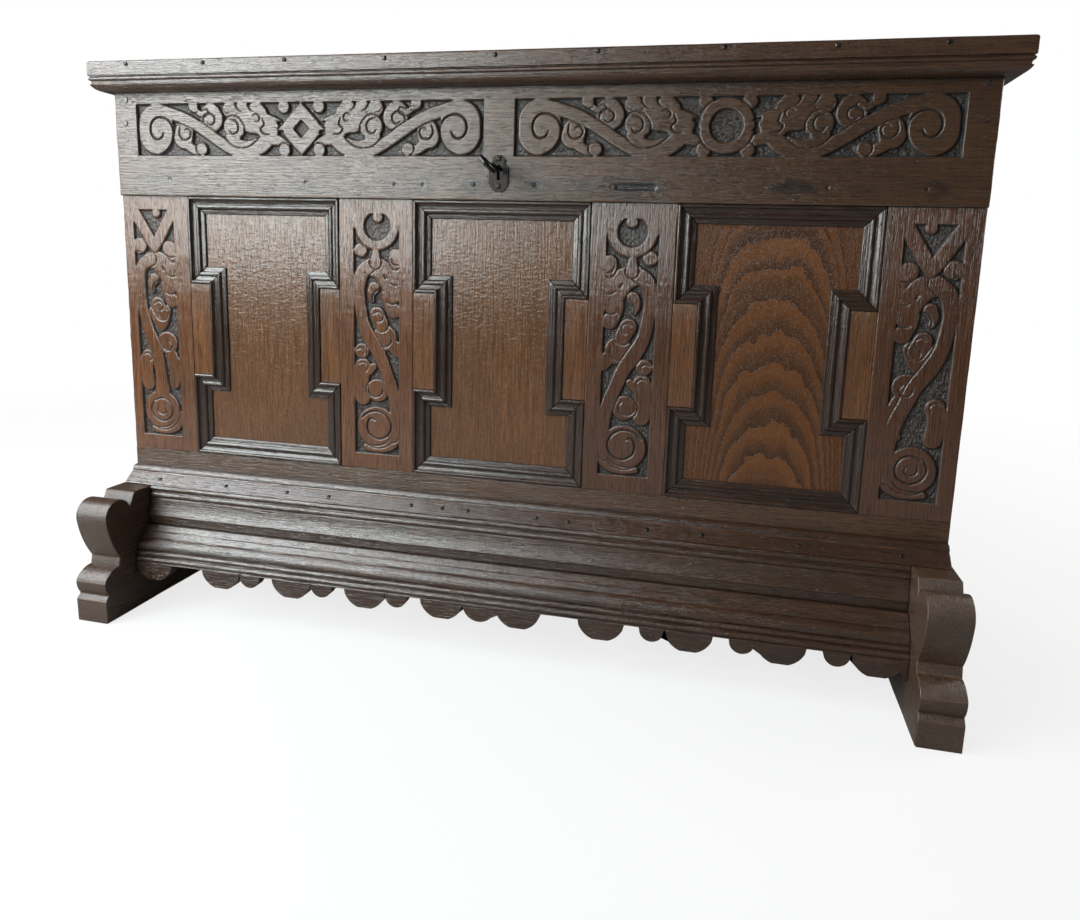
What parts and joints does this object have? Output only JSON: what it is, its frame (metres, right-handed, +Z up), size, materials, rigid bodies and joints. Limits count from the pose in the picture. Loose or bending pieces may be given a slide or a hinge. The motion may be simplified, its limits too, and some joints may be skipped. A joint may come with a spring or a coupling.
{
  "type": "coffer chest",
  "caption": "Joined oak coffer with a panelled and carved front, strap-hinged lid, working lock, moulded and scalloped plinth and scrolled sledge feet.",
  "frame": {"origin": "on the floor, under the middle of the chest's bounding box", "axes": "+X to the right seen from the front, the front faces -Y, +Z up"},
  "size_m": [1.29, 0.67, 0.843],
  "materials": {
    "oak_rails": "waxed and polished dark oak, carved",
    "oak_uprights": "waxed and polished dark oak, carved",
    "oak_panels": "waxed quarter-sawn and crown-cut oak",
    "oak_panel_mouldings": "waxed oak, stained almost black",
    "oak_blocks": "waxed light oak",
    "oak_plinth": "waxed dark oak, rubbed on the edges",
    "oak_feet": "waxed dark oak, rubbed on the edges",
    "oak_posts": "waxed dark oak",
    "oak_side_rails": "waxed dark oak",
    "oak_side_panels": "waxed dark oak",
    "oak_back": "unfinished aged oak",
    "oak_floor": "unfinished aged oak",
    "oak_bearers": "unfinished aged oak",
    "oak_lid": "waxed and polished dark oak",
    "oak_cleats": "waxed and polished dark oak",
    "oak_lid_moulding_front": "waxed and polished dark oak",
    "oak_lid_moulding_sides": "waxed and polished dark oak",
    "oak_pegs": "oak end grain",
    "iron_hinges": "hand-forged, blackened",
    "iron_nails": "hand-forged, blackened",
    "iron_lock": "hand-forged, dull",
    "iron_fixings": "hand-forged, rubbed",
    "iron_escutcheon": "filed and rubbed iron",
    "steel_key": "worn bright on the bow"
  },
  "bodies": {
    "carcase": {"front_top_rail": "oak_rails", "front_bottom_rail": "oak_rails", "front_stile_left": "oak_uprights", "front_stile_right": "oak_uprights", "front_muntin_left": "oak_uprights", "front_muntin_right": "oak_uprights", "front_panel_left": "oak_panels", "front_panel_centre": "oak_panels", "front_panel_right": "oak_panels", "panel_moulding_left": "oak_panel_mouldings", "panel_moulding_centre": "oak_panel_mouldings", "panel_moulding_right": "oak_panel_mouldings", "panel_blocks": "oak_blocks", "plinth_fascia": "oak_plinth", "plinth_moulding": "oak_plinth", "plinth_apron": "oak_plinth", "sledge_foot_left": "oak_feet", "sledge_foot_right": "oak_feet", "side_post_front_left": "oak_posts", "side_post_front_right": "oak_posts", "side_post_back_left": "oak_posts", "side_post_back_right": "oak_posts", "side_rail_top_left": "oak_side_rails", "side_rail_top_right": "oak_side_rails", "side_rail_bottom_left": "oak_side_rails", "side_rail_bottom_right": "oak_side_rails", "side_panel_left": "oak_side_panels", "side_panel_right": "oak_side_panels", "back_board_lower": "oak_back", "back_board_middle": "oak_back", "back_board_upper": "oak_back", "floor_board_front": "oak_floor", "floor_board_middle": "oak_floor", "floor_board_back": "oak_floor", "floor_bearers": "oak_bearers", "joint_pegs": "oak_pegs", "hinge_leaf_left": "iron_hinges", "hinge_leaf_right": "iron_hinges", "hinge_pins": "iron_hinges", "hinge_leaf_nails": "iron_nails", "plinth_nails": "iron_nails", "lock_case": "iron_lock", "lock_spring": "iron_lock", "escutcheon": "iron_escutcheon", "lock_fixings": "iron_fixings"},
    "lid": {"lid_board_front": "oak_lid", "lid_board_middle": "oak_lid", "lid_board_back": "oak_lid", "lid_cleat_left": "oak_cleats", "lid_cleat_right": "oak_cleats", "lid_moulding_front": "oak_lid_moulding_front", "lid_moulding_left": "oak_lid_moulding_sides", "lid_moulding_right": "oak_lid_moulding_sides", "hinge_strap_left": "iron_hinges", "hinge_strap_right": "iron_hinges", "hinge_strap_nails": "iron_nails", "lid_moulding_nails": "iron_nails", "lid_staple": "iron_lock"},
    "key": {"key": "steel_key"},
    "bolt": {"lock_bolt": "iron_lock"}
  },
  "joints": [
    {"name": "lid_hinge", "type": "hinge", "parent": "carcase", "child": "lid", "pos_m": [0, 0.3295, 0.8132], "axis": [-1, 0, 0], "range_deg": [0, 100]},
    {"name": "key_turn", "type": "hinge", "parent": "carcase", "child": "key", "pos_m": [-0.005, -0.2, 0.69], "axis": [0, -1, 0], "range_deg": [-45, 295]},
    {"name": "bolt_throw", "type": "slide", "parent": "carcase", "child": "bolt", "axis": [-1, 0, 0], "range_m": [-0.0019, 0.0122]}
  ],
  "couplings": [
    {"joint": "bolt_throw", "follows": "key_turn", "m_per_rad": 0.002359}
  ]
}
